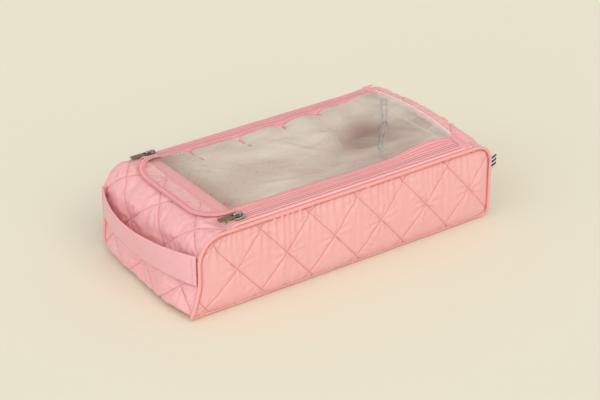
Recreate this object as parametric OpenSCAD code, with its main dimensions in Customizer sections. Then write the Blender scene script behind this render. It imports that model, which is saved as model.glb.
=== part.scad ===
// Long low quilted makeup bag with a clear zipped lid flap, an end strap and a woven tag loop.
// +X runs towards the tag end, the strap end is -X, the near long side is -Y, +Z is up.
// The origin is the middle of the flat base.

/* [Bag] */
// Overall length over the piping, without the strap
bag_l = 340; // [240:1:440]
// Overall width over the two side panels
bag_w = 174; // [150:1:240]
// Overall height to the top of the piping
bag_h = 85; // [60:1:130]
// Thickness of the quilted padding
pad_t = 4.2; // [2:0.1:6]
// Thickness of the lining
lining_t = 0.8; // [0.4:0.1:1.4]
// How far the filled top stands above the side seams
crown = 4; // [2:0.5:6]
// Diameter of the piping cord
piping_d = 4; // [3:0.1:5]
// Side outline corner radius, top at the strap end
r_top_front = 25; // [12:1:30]
// Side outline corner radius, top at the tag end
r_top_back = 18; // [12:1:26]
// Side outline corner radius at the bottom
r_bottom = 12; // [8:1:20]

/* [Lid flap] */
// Distance from the strap end of the bag to the end of the flap
flap_inset = 19; // [16:1:28]
// Distance from the tag end of the bag to the fold line of the flap
fold_inset = 32; // [26:1:40]
// Half width of the clear window between its two border strips
window_half = 60.5; // [48:0.5:62]
// Thickness of the clear film
film_t = 0.5; // [0.3:0.1:0.8]
// Width of the fabric binding round the end of the flap
binding_w = 10; // [6:0.5:14]
// Corner radius of the flap
flap_r = 31; // [16:1:36]

/* [Zips] */
// Distance from a side panel's outer face to its zip's centre line
zip_inset = 11.5; // [11:0.5:16]
// Thickness of the woven zip tape
tape_t = 0.8; // [0.5:0.1:1]
// Width of one coil
coil_w = 2.2; // [1.8:0.1:2.6]
// Height of one coil
coil_h = 1.8; // [1.4:0.1:2]
// Distance from the strap end of the bag to the middle of a closed slider
slider_inset = 50; // [46:1:60]
// Length of a slider body
slider_l = 13; // [11:0.5:15]
// Width of a slider body
slider_w = 11; // [9:0.5:12]
// Length of the flat pull, from its hinge bar to its tip
pull_l = 21; // [17:0.5:26]
// Width of the flat pull
pull_w = 5.6; // [5:0.1:7]

/* [Strap and tag] */
// Width of the carrying strap
strap_w = 30; // [20:1:40]
// Thickness of the strap
strap_t = 2.2; // [1.5:0.1:3]
// How far the strap stands off at its middle
strap_bow = 18; // [14:0.5:22]
// Height of the strap's middle above the base
strap_z = 52; // [36:1:56]
// Height of the woven tag
tag_h = 11; // [8:0.5:16]
// How far the tag stands off the end
tag_l = 9; // [6:0.5:12]

/* [Hidden] */
$fn = 64;
eps = 0.01;
gap = 0.3;
pr = piping_d / 2;
half_l = bag_l / 2;
half_w = bag_w / 2;
shell_x = half_l - pr;
seam_z = bag_h - pr;
shell_z = seam_z + crown;
shell_y = half_w - pad_t - 0.2;
piping_y = half_w - pr;
lining_y = shell_y - lining_t;
flap_x0 = -half_l + flap_inset;
fold_x = half_l - fold_inset;
strip_x = -half_l + slider_inset - 9.5;
hem_x = strip_x + 12.5;
zip_y = half_w - zip_inset;
slit = 0.8;
tape_z = shell_z;
film_z = shell_z + tape_t - film_t;
trim_z = shell_z + tape_t;
trim_t = 1.2;
border_y = zip_y - 6.5;
slider_x = -half_l + slider_inset;
coil_x0 = slider_x + 0.1;
coil_x1 = fold_x - 3.3;
bottom_plate_t = 1.1;
top_plate_z = trim_z + gap;
top_plate_t = 1.1;
pivot_z = top_plate_z + top_plate_t + 1;
arch_w = 2.4;
bar_d = 1.3;
strap_r = (pow(shell_y, 2) + pow(strap_bow, 2)) / (2 * strap_bow);

// ---- helpers ----

// Box from its low corner to its high corner.
module box(a, b) {
  translate(a) cube([b[0] - a[0], b[1] - a[1], b[2] - a[2]]);
}

// Rectangle with a different radius at each corner: low-left, low-right, high-left, high-right.
module corners(x0, x1, y0, y1, ll, lr, hl, hr) {
  translate([x0 + ll, y0 + ll]) circle(r = ll);
  translate([x1 - lr, y0 + lr]) circle(r = lr);
  translate([x0 + hl, y1 - hl]) circle(r = hl);
  translate([x1 - hr, y1 - hr]) circle(r = hr);
  polygon([
    [x0 + ll, y0], [x1 - lr, y0], [x1, y0 + lr], [x1, y1 - hr],
    [x1 - hr, y1], [x0 + hl, y1], [x0, y1 - hl], [x0, y0 + ll]
  ]);
}

// The shell's outline in the X-Z plane, drawn in by d.
module outline(d) {
  corners(-shell_x + d, shell_x - d, d, shell_z - d,
    r_bottom - d, r_bottom - d, r_top_front - d, r_top_back - d);
}

// A profile drawn in X-Z, standing from y0 to y1.
module stand(y0, y1) {
  translate([0, y1, 0]) rotate([90, 0, 0]) linear_extrude(y1 - y0) children();
}

// The shell between two depths, over the width from -y to y.
module shell(d0, d1, y) {
  stand(-y, y) difference() {
    outline(d0);
    outline(d1);
  }
}

// The far side's copy of a near piece.
module far_side() {
  mirror([0, 1, 0]) children();
}

// ---- shell ----

module side_panel() {
  stand(-half_w, -half_w + pad_t) corners(
    -shell_x + pr + 0.2, shell_x - pr - 0.2, 2 * pr + 0.5, seam_z - pr - 0.2,
    r_bottom - pr, r_bottom - pr, r_top_front - pr, r_top_back - pr);
}

module side_panel_near() {
  color([0.94, 0.68, 0.65]) side_panel();
}

module side_panel_far() {
  color([0.94, 0.68, 0.65]) far_side() side_panel();
}

module end_panel_front() {
  color([0.93, 0.70, 0.71]) intersection() {
    shell(0, pad_t, shell_y);
    union() {
      box([-half_l, -half_w, shell_z / 2], [strip_x, half_w, bag_h]);
      box([-half_l, -half_w, -1], [-shell_x + r_bottom, half_w, shell_z / 2]);
    }
  }
}

module end_panel_back() {
  color([0.93, 0.70, 0.71]) intersection() {
    shell(0, pad_t, shell_y);
    union() {
      box([fold_x, -half_w, shell_z / 2], [half_l, half_w, bag_h]);
      box([shell_x - r_bottom, -half_w, -1], [half_l, half_w, shell_z / 2]);
    }
  }
}

module base_panel() {
  color([0.92, 0.68, 0.67])
    box([-shell_x + r_bottom, -shell_y, 0], [shell_x - r_bottom, shell_y, pad_t]);
}

module front_hem_band() {
  color([0.90, 0.66, 0.64])
    box([strip_x, -border_y + 1, shell_z - 3], [hem_x, border_y - 1, shell_z]);
}

// ---- lining ----

module lining_side() {
  stand(-shell_y, -lining_y) intersection() {
    outline(pad_t + 0.1);
    translate([-half_l, 0]) square([bag_l, shell_z - pad_t - 0.4]);
  }
}

module lining_near() {
  color([0.83, 0.72, 0.66]) lining_side();
}

module lining_far() {
  color([0.83, 0.72, 0.66]) far_side() lining_side();
}

module lining_shell() {
  shell(pad_t, pad_t + lining_t, lining_y - 0.1);
}

module lining_front() {
  color([0.83, 0.72, 0.66]) intersection() {
    lining_shell();
    union() {
      box([-half_l, -half_w, shell_z / 2], [strip_x, half_w, bag_h]);
      box([-half_l, -half_w, 0], [-shell_x + r_bottom, half_w, shell_z / 2]);
    }
  }
}

module lining_back() {
  color([0.83, 0.72, 0.66]) intersection() {
    lining_shell();
    union() {
      box([fold_x + 1, -half_w, shell_z / 2], [half_l, half_w, bag_h]);
      box([shell_x - r_bottom, -half_w, 0], [half_l, half_w, shell_z / 2]);
    }
  }
}

module lining_base() {
  color([0.83, 0.72, 0.66])
    box([-shell_x + r_bottom, -lining_y + 0.1, pad_t],
      [shell_x - r_bottom, lining_y - 0.1, pad_t + lining_t]);
}

// ---- piping ----

// Straight cord in the X-Z plane from (x0, z0), going len along X or up Z.
module cord_x(x0, x1, z) {
  translate([x0, 0, z]) rotate([0, 90, 0]) cylinder(h = x1 - x0, r = pr, $fn = 20);
}

module cord_z(x, z0, z1) {
  translate([x, 0, z0]) cylinder(h = z1 - z0, r = pr, $fn = 20);
}

// Quarter bend about (x, z) with its start turned by a.
module bend(x, z, r, a) {
  translate([x, 0, z]) rotate([90, 0, 0]) rotate([0, 0, a])
    rotate_extrude(angle = 90, $fn = 40) translate([r, 0]) circle(r = pr, $fn = 20);
}

module piping() {
  zb = pr + 0.3;
  translate([0, -piping_y, 0]) {
    cord_x(-shell_x + r_bottom, shell_x - r_bottom, zb);
    cord_x(-shell_x + r_top_front, shell_x - r_top_back, seam_z);
    cord_z(-shell_x, zb + r_bottom, seam_z - r_top_front);
    cord_z(shell_x, zb + r_bottom, seam_z - r_top_back);
    bend(-shell_x + r_bottom, zb + r_bottom, r_bottom, 180);
    bend(shell_x - r_bottom, zb + r_bottom, r_bottom, 270);
    bend(shell_x - r_top_back, seam_z - r_top_back, r_top_back, 0);
    bend(-shell_x + r_top_front, seam_z - r_top_front, r_top_front, 90);
  }
}

module piping_near() {
  color([0.93, 0.63, 0.60]) piping();
}

module piping_far() {
  color([0.93, 0.63, 0.60]) far_side() piping();
}

// ---- zips, outer halves ----

// Flat from the slit to the edge of the shell, then down to the side seam.
module zip_tape_outer() {
  edge = -shell_y - 0.1;
  low = 2 - crown;
  translate([slider_x - 3, 0, tape_z]) rotate([90, 0, 90])
    linear_extrude(fold_x + 12 - slider_x) polygon([
      [-zip_y - slit, 0], [-zip_y - slit, tape_t], [edge - tape_t / 2, tape_t],
      [edge - tape_t, tape_t / 2], [edge - tape_t, low], [edge, low], [edge, 0]
    ]);
}

module zip_tape_outer_near() {
  color([0.92, 0.66, 0.64]) zip_tape_outer();
}

module zip_tape_outer_far() {
  color([0.92, 0.66, 0.64]) far_side() zip_tape_outer();
}

module zip_coil_outer() {
  box([coil_x0, -zip_y - slit - coil_w, tape_z - coil_h], [coil_x1, -zip_y - slit, tape_z]);
}

module zip_coil_outer_near() {
  color([0.90, 0.58, 0.54]) zip_coil_outer();
}

module zip_coil_outer_far() {
  color([0.90, 0.58, 0.54]) far_side() zip_coil_outer();
}

module zip_stop() {
  box([coil_x0 - 2, -zip_y - slit - coil_w, tape_z - coil_h], [coil_x0, -zip_y - slit, tape_z]);
}

module zip_stop_near() {
  color([0.60, 0.58, 0.57]) zip_stop();
}

module zip_stop_far() {
  color([0.60, 0.58, 0.57]) far_side() zip_stop();
}

module zip_end_tab() {
  box([fold_x - 3, -zip_y - slit - 4.4, trim_z], [fold_x + 9, -window_half, trim_z + trim_t]);
}

module zip_end_tab_near() {
  color([0.91, 0.65, 0.63]) zip_end_tab();
}

module zip_end_tab_far() {
  color([0.91, 0.65, 0.63]) far_side() zip_end_tab();
}

// ---- strap and tag ----

module handle_strap() {
  color([0.93, 0.70, 0.71]) translate([0, 0, strap_z - strap_w / 2])
    linear_extrude(strap_w) intersection() {
      translate([-half_l - strap_bow + strap_r, 0]) difference() {
        circle(r = strap_r + strap_t / 2, $fn = 180);
        circle(r = strap_r - strap_t / 2, $fn = 180);
      }
      translate([-half_l - 2 * strap_bow, -half_w]) square([2 * strap_bow - gap, bag_w]);
    }
}

module tag_loop() {
  color([0.95, 0.93, 0.88]) translate([shell_x, -shell_y + 0.2, strap_z + 1])
    linear_extrude(tag_h) difference() {
      square([tag_l, 2.4]);
      translate([-eps, 0.7]) square([tag_l - 0.7, 1]);
    }
}

// ---- lid flap ----

// Flap plan: rounded at the strap end, square at the fold, drawn in by d.
module flap_plan(d) {
  x0 = flap_x0 + d;
  y = border_y - 2 - d;
  r = flap_r - d;
  translate([x0 + r, y - r]) circle(r = r);
  translate([x0 + r, r - y]) circle(r = r);
  polygon([
    [x0, r - y], [x0 + r, -y], [fold_x - 0.6, -y],
    [fold_x - 0.6, y], [x0 + r, y], [x0, y - r]
  ]);
}

module window_film() {
  color([0.86, 0.80, 0.76, 0.35]) translate([0, 0, film_z]) linear_extrude(film_t)
    intersection() {
      flap_plan(1.5);
      union() {
        translate([-half_l, -window_half - 2]) square([half_l + coil_x1, 2 * window_half + 4]);
        translate([-half_l, gap - window_half]) square([bag_l, 2 * (window_half - gap)]);
      }
    }
}

module flap_binding() {
  color([0.90, 0.66, 0.63]) translate([0, 0, trim_z]) linear_extrude(trim_t)
    intersection() {
      difference() {
        flap_plan(0);
        flap_plan(binding_w);
      }
      translate([-half_l, -half_w]) square([flap_inset + flap_r + 4, bag_w]);
    }
}

module flap_border() {
  box([flap_x0 + flap_r + 4, -border_y, trim_z], [coil_x1, -window_half, trim_z + trim_t]);
}

module flap_border_near() {
  color([0.88, 0.62, 0.60]) flap_border();
}

module flap_border_far() {
  color([0.88, 0.62, 0.60]) far_side() flap_border();
}

module zip_tape_inner() {
  box([coil_x0, -zip_y + slit, tape_z], [coil_x1, -border_y + 2, tape_z + tape_t]);
}

module zip_tape_inner_near() {
  color([0.93, 0.68, 0.66]) zip_tape_inner();
}

module zip_tape_inner_far() {
  color([0.93, 0.68, 0.66]) far_side() zip_tape_inner();
}

module zip_coil_inner() {
  box([coil_x0, -zip_y + slit, tape_z - coil_h], [coil_x1, -zip_y + slit + coil_w, tape_z]);
}

module zip_coil_inner_near() {
  color([0.90, 0.58, 0.54]) zip_coil_inner();
}

module zip_coil_inner_far() {
  color([0.90, 0.58, 0.54]) far_side() zip_coil_inner();
}

// ---- sliders ----

// Slider plate: broad at the nose, narrower at the tail.
module slider_plate() {
  hw = slider_w / 2;
  hl = slider_l / 2;
  polygon([
    [-hl, -hw * 0.5], [-hl + 2.5, -hw], [-1, -hw], [hl - 1, -hw * 0.78], [hl, -hw * 0.6],
    [hl, hw * 0.6], [hl - 1, hw * 0.78], [-1, hw], [-hl + 2.5, hw], [-hl, hw * 0.5]
  ]);
}

module slider() {
  low = tape_z - coil_h - gap - bottom_plate_t;
  flange_y = slit + coil_w + gap;
  flange_h = coil_h;
  translate([slider_x, -zip_y, 0]) {
    translate([0, 0, top_plate_z]) linear_extrude(top_plate_t) slider_plate();
    translate([0, 0, low]) linear_extrude(bottom_plate_t) slider_plate();
    box([-slider_l / 2 + 0.6, -slit + 0.2, low + 1], [-slider_l / 2 + 4, slit - 0.2, top_plate_z + 0.1]);
    for (s = [-1, 1]) {
      y = s * (flange_y + 0.5);
      box([-slider_l / 2 + 3, y - 0.5, low + 1], [slider_l / 2 - 2, y + 0.5, low + 1 + flange_h]);
    }
  }
}

module slider_near() {
  color([0.55, 0.54, 0.53]) slider();
}

module slider_far() {
  color([0.55, 0.54, 0.53]) far_side() slider();
}

// Arch over the slider's top plate that the pull's hinge bar runs in.
module slider_bridge() {
  z0 = top_plate_z + top_plate_t;
  translate([slider_x, 0, 0]) stand(-zip_y - arch_w / 2, -zip_y + arch_w / 2) difference() {
    corners(-5, 5, z0, z0 + 3.2, 0.2, 0.2, 1.6, 1.6);
    corners(-3.7, 3.7, z0 - 1, z0 + 2, 0.2, 0.2, 0.8, 0.8);
  }
}

module slider_bridge_near() {
  color([0.70, 0.69, 0.68]) slider_bridge();
}

module slider_bridge_far() {
  color([0.70, 0.69, 0.68]) far_side() slider_bridge();
}

// Flat pull: a bar under the arch, two arms beside it and a plate with rounded corners.
module pull_tab() {
  arm_w = (pull_w - arch_w) / 2 - gap;
  translate([slider_x, -zip_y, pivot_z]) {
    rotate([90, 0, 0]) translate([0, 0, -pull_w / 2]) cylinder(h = pull_w, d = bar_d, $fn = 24);
    for (s = [-1, 1]) {
      y = s * (pull_w / 2 - arm_w / 2);
      box([-8, y - arm_w / 2, -bar_d / 2], [0, y + arm_w / 2, bar_d / 2]);
    }
    translate([0, 0, -bar_d / 2]) linear_extrude(bar_d)
      corners(-pull_l, -7.5, -pull_w / 2, pull_w / 2, 1.2, 0.3, 1.2, 0.3);
  }
}

module pull_tab_near() {
  color([0.50, 0.49, 0.49]) pull_tab();
}

module pull_tab_far() {
  color([0.50, 0.49, 0.49]) far_side() pull_tab();
}

side_panel_near();
side_panel_far();
end_panel_front();
end_panel_back();
base_panel();
front_hem_band();
lining_near();
lining_far();
lining_front();
lining_back();
lining_base();
piping_near();
piping_far();
zip_tape_outer_near();
zip_tape_outer_far();
zip_coil_outer_near();
zip_coil_outer_far();
zip_stop_near();
zip_stop_far();
zip_end_tab_near();
zip_end_tab_far();
handle_strap();
tag_loop();
window_film();
flap_binding();
flap_border_near();
flap_border_far();
zip_tape_inner_near();
zip_tape_inner_far();
zip_coil_inner_near();
zip_coil_inner_far();
slider_near();
slider_far();
slider_bridge_near();
slider_bridge_far();
pull_tab_near();
pull_tab_far();
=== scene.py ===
# %% [markdown]
# # A quilted makeup bag with a clear zipped lid
#
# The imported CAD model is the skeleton: it fixes every size and every moving body. This
# lesson dresses it. Cloth, film, cord and metal are each made the way the real piece is.

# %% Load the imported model
import bpy, bmesh, math
from mathutils import Matrix, Vector, noise


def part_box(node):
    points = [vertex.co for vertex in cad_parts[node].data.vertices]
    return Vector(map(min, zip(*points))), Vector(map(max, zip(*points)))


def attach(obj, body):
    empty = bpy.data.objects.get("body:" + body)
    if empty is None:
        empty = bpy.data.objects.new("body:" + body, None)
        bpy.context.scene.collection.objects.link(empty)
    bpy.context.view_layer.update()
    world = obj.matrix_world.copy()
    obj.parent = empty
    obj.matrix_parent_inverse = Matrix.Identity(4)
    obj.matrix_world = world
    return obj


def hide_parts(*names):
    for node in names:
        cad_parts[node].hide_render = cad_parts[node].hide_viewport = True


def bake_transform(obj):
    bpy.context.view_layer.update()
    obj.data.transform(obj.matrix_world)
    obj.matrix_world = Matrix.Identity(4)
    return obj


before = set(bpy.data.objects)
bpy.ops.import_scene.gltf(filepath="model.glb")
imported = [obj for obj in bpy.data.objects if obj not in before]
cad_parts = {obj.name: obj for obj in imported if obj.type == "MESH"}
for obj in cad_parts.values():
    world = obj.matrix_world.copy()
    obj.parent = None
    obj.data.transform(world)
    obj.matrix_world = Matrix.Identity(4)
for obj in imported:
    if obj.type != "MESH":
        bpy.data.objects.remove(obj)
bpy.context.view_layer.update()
MM = 0.001

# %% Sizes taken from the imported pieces, in millimetres


def box_mm(node):
    low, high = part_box(node)
    return [c / MM for c in low], [c / MM for c in high]


LOOP_LOW, LOOP_HIGH = box_mm("piping_near")
PANEL_LOW, PANEL_HIGH = box_mm("side_panel_near")
_, GUSSET_HIGH = box_mm("end_panel_front")
FILM_LOW, _ = box_mm("window_film")
BORDER_LOW, BORDER_HIGH = box_mm("flap_border_near")
OUTER_LOW, OUTER_HIGH = box_mm("zip_tape_outer_near")
INNER_LOW, INNER_HIGH = box_mm("zip_tape_inner_near")
CORD_R = (PANEL_LOW[0] - LOOP_LOW[0] - 0.2) / 2
SHELL_X = LOOP_HIGH[0] - CORD_R
SHELL_Z = GUSSET_HIGH[2]
SHELL_Y = GUSSET_HIGH[1]
SIDE_Y = -PANEL_LOW[1]
PIPING_Y = SIDE_Y - CORD_R
ZIP_Y = -(OUTER_HIGH[1] + INNER_LOW[1]) / 2
FOLD_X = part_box("end_panel_back")[0].x / MM
STRIP_X = GUSSET_HIGH[0]
WINDOW_HALF, SEAM_Y = 60.5, 84.5
R_TOP_FRONT, R_TOP_BACK, R_BOTTOM = 25.0, 18.0, 7.0
print(f"shell {2 * SHELL_X:.1f} x {2 * SHELL_Y:.1f} x {SHELL_Z:.1f}, zips at {ZIP_Y:.1f}")

# %% [markdown]
# ## Stage, light and camera
#
# A pale cream floor under an even sky, with a wide soft sun from the camera's side and a
# second, cooler one that reaches the strap end. The floor's own colour is the background,
# so the object seems to lie on seamless paper.

# %% Colours as they look on screen


def screen(r, g, b):
    """A colour picked on a screen, turned into the linear value that shaders use."""
    out = []
    for c in (r, g, b):
        c /= 255
        out.append(c / 12.92 if c <= 0.04045 else ((c + 0.055) / 1.055) ** 2.4)
    return (*out, 1.0)


PAPER = screen(231, 225, 201)
PAPER_SHARE = 1.02

# %% Floor, sky, sun and camera
scene = bpy.context.scene
scene.view_settings.view_transform = "Standard"


def link(obj):
    scene.collection.objects.link(obj)
    return obj


def make_floor():
    bm = bmesh.new()
    bmesh.ops.create_grid(bm, x_segments=2, y_segments=2, size=4.0)
    mesh = bpy.data.meshes.new("paper_floor")
    bm.to_mesh(mesh)
    bm.free()
    floor = link(bpy.data.objects.new("paper_floor", mesh))
    mat = bpy.data.materials.new("paper")
    mat.use_nodes = True
    bsdf = mat.node_tree.nodes["Principled BSDF"]
    bsdf.inputs["Base Color"].default_value = tuple(c * PAPER_SHARE for c in PAPER[:3]) + (1.0,)
    bsdf.inputs["Roughness"].default_value = 0.9
    bsdf.inputs["Specular IOR Level"].default_value = 0.1
    mesh.materials.append(mat)
    return floor


def make_sky():
    world = bpy.data.worlds.new("even_sky")
    scene.world = world
    world.use_nodes = True
    background = world.node_tree.nodes["Background"]
    background.inputs["Color"].default_value = (1.0, 0.99, 0.985, 1)
    background.inputs["Strength"].default_value = 0.60


def make_sun(name, direction, strength, angle, colour):
    data = bpy.data.lights.new(name, "SUN")
    data.energy, data.angle, data.color = strength, math.radians(angle), colour
    sun = link(bpy.data.objects.new(name, data))
    sun.rotation_euler = Vector(direction).to_track_quat("-Z", "Y").to_euler()
    return sun


make_floor()
make_sky()
make_sun("key_sun", (0.10, 0.80, -0.68), 1.32, 50, (1.0, 0.985, 0.96))
make_sun("cool_fill", (1.0, 0.25, -0.40), 1.25, 70, (0.86, 0.94, 1.16))

camera_data = bpy.data.cameras.new("camera")
camera_data.lens, camera_data.sensor_width = 109.1, 36
camera = link(bpy.data.objects.new("camera", camera_data))
camera.location = (-0.8987, -1.2709, 0.8643)
look_at = Vector((-0.0044, -0.0078, 0.0408))
camera.rotation_euler = (look_at - camera.location).to_track_quat("-Z", "Y").to_euler()
scene.camera = camera
print("camera at", tuple(round(c, 3) for c in camera.location))

# %% [markdown]
# ## Finishes
#
# Fabric needs three scales at once: the weave, the soft unevenness of dyed cloth, and the
# marks of sewing, where the quilting lines and tape ribs carry painted shade. The first two
# are shader groups that every cloth here shares, with its own values. The quilting lines are
# a third group, on the cloth's own flat coordinates.

# %% Shader group helpers


class Group:
    """A shader node group being built: add nodes by type and join them by socket."""

    def __init__(self, name, inputs, outputs):
        self.tree = bpy.data.node_groups.new(name, "ShaderNodeTree")
        for label, kind, default in inputs:
            s = self.tree.interface.new_socket(label, in_out="INPUT", socket_type=kind)
            if default is not None:
                s.default_value = default
        for label, kind in outputs:
            self.tree.interface.new_socket(label, in_out="OUTPUT", socket_type=kind)
        self.source = self.tree.nodes.new("NodeGroupInput").outputs
        self.sink = self.tree.nodes.new("NodeGroupOutput").inputs

    def add(self, kind, links=None, **settings):
        return add_node(self.tree, kind, links, **settings)

    def join(self, a, b):
        self.tree.links.new(a, b)


def add_node(tree, kind, links=None, **settings):
    node = tree.nodes.new("ShaderNode" + kind)
    for key, value in settings.items():
        setattr(node, key, value)
    for key, value in (links or {}).items():
        socket = node.inputs[key]
        if isinstance(value, bpy.types.NodeSocket):
            tree.links.new(value, socket)
        else:
            socket.default_value = value
    return node


def maths(tree, operation, a, b=0.0, clamp=False):
    return add_node(tree, "Math", {0: a, 1: b}, operation=operation, use_clamp=clamp).outputs[0]


# %% Weave: crossing threads
COL, VAL, VEC = "NodeSocketColor", "NodeSocketFloat", "NodeSocketVector"


def make_weave_group():
    g = Group("crossing_threads",
              [("Cloth", VEC, None), ("Threads", VAL, 1400.0), ("Slub", VAL, 0.35)],
              [("Height", VAL), ("Shade", VAL)])
    t = g.tree
    parts = add_node(t, "SeparateXYZ", {0: g.source["Cloth"]}).outputs
    heights = []
    for axis in (0, 1):
        run = maths(t, "MULTIPLY", parts[axis], g.source["Threads"])
        heights.append(maths(t, "ABSOLUTE", maths(t, "SINE", run)))
    over = maths(t, "MAXIMUM", heights[0], heights[1])
    stretched = add_node(t, "Mapping", {"Vector": g.source["Cloth"], "Scale": (1.0, 0.12, 1.0)})
    slub = add_node(t, "TexNoise", {"Vector": stretched.outputs[0], "Scale": 900.0, "Detail": 3.0})
    uneven = maths(t, "MULTIPLY", slub.outputs["Fac"], g.source["Slub"])
    g.join(maths(t, "ADD", maths(t, "MULTIPLY", over, 0.6), uneven), g.sink["Height"])
    g.join(maths(t, "ADD", 0.9, maths(t, "MULTIPLY", uneven, 0.4)), g.sink["Shade"])
    return g.tree


def make_dye_group():
    """Slow change of colour over the cloth, with paler rubbed places, and painted shade along seams
    and grooves.
    """
    g = Group("dyed_cloth",
              [("Place", VEC, None), ("Colour", COL, (1, 1, 1, 1)), ("Deep", COL, (1, 1, 1, 1)),
               ("Shade", VAL, 1.0), ("Seam", VAL, 0.0)],
              [("Colour", COL)])
    t = g.tree
    big = add_node(t, "TexNoise", {"Vector": g.source["Place"], "Scale": 14.0, "Detail": 4.0})
    spread = add_node(t, "MapRange", {"Value": big.outputs["Fac"], "From Min": 0.3,
                                      "From Max": 0.7, "To Min": 0.0, "To Max": 0.16})
    # The deep share is the dye's uneven tone together with painted shade along seams and grooves.
    deep = maths(t, "MAXIMUM", spread.outputs[0], g.source["Seam"], clamp=True)
    mix = add_node(t, "Mix", {0: deep, 6: g.source["Colour"], 7: g.source["Deep"]},
                   data_type="RGBA")
    shaded = add_node(t, "VectorMath", {0: mix.outputs[2]}, operation="SCALE")
    g.join(g.source["Shade"], shaded.inputs["Scale"])
    g.join(shaded.outputs[0], g.sink["Colour"])
    return g.tree


def make_quilt_group():
    """Diamond quilting lines: the cloth's flat coordinates count whole diamonds."""
    g = Group("quilting_lines", [("Cloth", VEC, None), ("Width", VAL, 0.024)],
              [("Line", VAL), ("Stitch", VAL)])
    t = g.tree
    parts = add_node(t, "SeparateXYZ", {0: g.source["Cloth"]}).outputs
    up = maths(t, "ADD", parts[0], parts[1])
    down = maths(t, "SUBTRACT", parts[0], parts[1])
    lines, stitches = [], []
    for across, along in ((up, down), (down, up)):
        off = maths(t, "PINGPONG", across, 0.5)
        line = add_node(t, "MapRange", {"Value": off, "From Max": g.source["Width"],
                                        "To Min": 1.0, "To Max": 0.0},
                        interpolation_type="SMOOTHSTEP").outputs[0]
        dash = maths(t, "PINGPONG", maths(t, "MULTIPLY", along, 26.0), 0.5)
        lines.append(line)
        stitches.append(maths(t, "MULTIPLY", line, maths(t, "GREATER_THAN", dash, 0.14)))
    g.join(maths(t, "MAXIMUM", *lines), g.sink["Line"])
    g.join(maths(t, "MAXIMUM", *stitches), g.sink["Stitch"])
    return g.tree


WEAVE, DYE, QUILT = make_weave_group(), make_dye_group(), make_quilt_group()
print("shader groups:", WEAVE.name, DYE.name, QUILT.name)

# %% Cloth material


def cloth(name, colour, deep, threads=1400.0, depth=0.00012, rough=0.7, sheen=0.25,
          quilted=False, slub=0.35, crinkle=5.0, shaded_ribs=None):
    """A tape's lines: how far apart they are, and where one of them lies. Each is a groove in the
    bump, and its darker colour is painted shade.
    """
    mat = bpy.data.materials.new(name)
    mat.use_nodes = True
    t = mat.node_tree
    bsdf = t.nodes["Principled BSDF"]
    bsdf.inputs["Roughness"].default_value = rough
    bsdf.inputs["Specular IOR Level"].default_value = 0.3
    bsdf.inputs["Sheen Weight"].default_value = sheen
    bsdf.inputs["Sheen Roughness"].default_value = 0.4
    bsdf.inputs["Sheen Tint"].default_value = (1.0, 0.93, 0.92, 1)
    place = add_node(t, "TexCoord").outputs["Object"]
    flat = add_node(t, "UVMap", uv_map="cloth").outputs[0]
    weave = add_node(t, "Group", node_tree=WEAVE)
    t.links.new(flat, weave.inputs["Cloth"])
    weave.inputs["Threads"].default_value = threads
    weave.inputs["Slub"].default_value = slub
    dye = add_node(t, "Group", node_tree=DYE)
    t.links.new(place, dye.inputs["Place"])
    t.links.new(weave.outputs["Shade"], dye.inputs["Shade"])
    dye.inputs["Colour"].default_value = colour
    dye.inputs["Deep"].default_value = deep
    height = weave.outputs["Height"]
    if quilted:
        grid = add_node(t, "UVMap", uv_map="diamonds").outputs[0]
        quilt = add_node(t, "Group", node_tree=QUILT)
        t.links.new(grid, quilt.inputs["Cloth"])
        # Painted shade: the quilting lines darken the cloth toward its deep colour, as shade in the
        # sewn grooves.
        t.links.new(maths(t, "MULTIPLY", quilt.outputs["Line"], 0.85), dye.inputs["Seam"])
        sewn = maths(t, "SUBTRACT", maths(t, "MULTIPLY", quilt.outputs["Stitch"], 1.6),
                     maths(t, "MULTIPLY", quilt.outputs["Line"], 3.0))
        height = maths(t, "ADD", height, sewn)
    if shaded_ribs:
        apart, at = shaded_ribs
        across = add_node(t, "SeparateXYZ", {0: flat}).outputs[1]
        off = maths(t, "PINGPONG", maths(t, "MULTIPLY", maths(t, "SUBTRACT", across, at * MM),
                                         1 / (apart * MM)), 0.5)
        rib = add_node(t, "MapRange", {"Value": off, "From Min": 0.05, "From Max": 0.17,
                                       "To Min": 0.9, "To Max": 0.0},
                       interpolation_type="SMOOTHSTEP").outputs[0]
        # Painted shade: each rib line darkens the cloth toward its deep colour; the groove in the
        # bump below is real.
        t.links.new(rib, dye.inputs["Seam"])
        height = maths(t, "SUBTRACT", height, maths(t, "MULTIPLY", rib, 3.0))
    t.links.new(dye.outputs["Colour"], bsdf.inputs["Base Color"])
    creased = add_node(t, "TexNoise", {"Vector": place, "Scale": 170.0, "Detail": 3.0,
                                       "Distortion": 0.6})
    height = maths(t, "ADD", height, maths(t, "MULTIPLY", creased.outputs["Fac"], crinkle))
    bump = add_node(t, "Bump", {"Height": height, "Distance": depth, "Strength": 0.6})
    t.links.new(bump.outputs["Normal"], bsdf.inputs["Normal"])
    return mat


PINK_SIDE, PINK_SIDE_DEEP = screen(239, 180, 174), screen(222, 134, 133)
# The end panels are the same fabric as the sides; their colour is set a little darker, a painted
# shade on the ends.
PINK_END, PINK_END_DEEP = screen(238, 177, 173), screen(220, 134, 135)
side_cloth = cloth("quilted_side_cloth", PINK_SIDE, PINK_SIDE_DEEP, quilted=True)
end_cloth = cloth("quilted_end_cloth", PINK_END, PINK_END_DEEP, quilted=True, crinkle=8.0)
strap_cloth = cloth("strap_cloth", screen(238, 178, 178), screen(224, 146, 150), slub=0.4,
                    crinkle=9.0)
hem_cloth = cloth("hem_cloth", screen(234, 158, 158), screen(220, 136, 138), slub=0.5)
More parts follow.
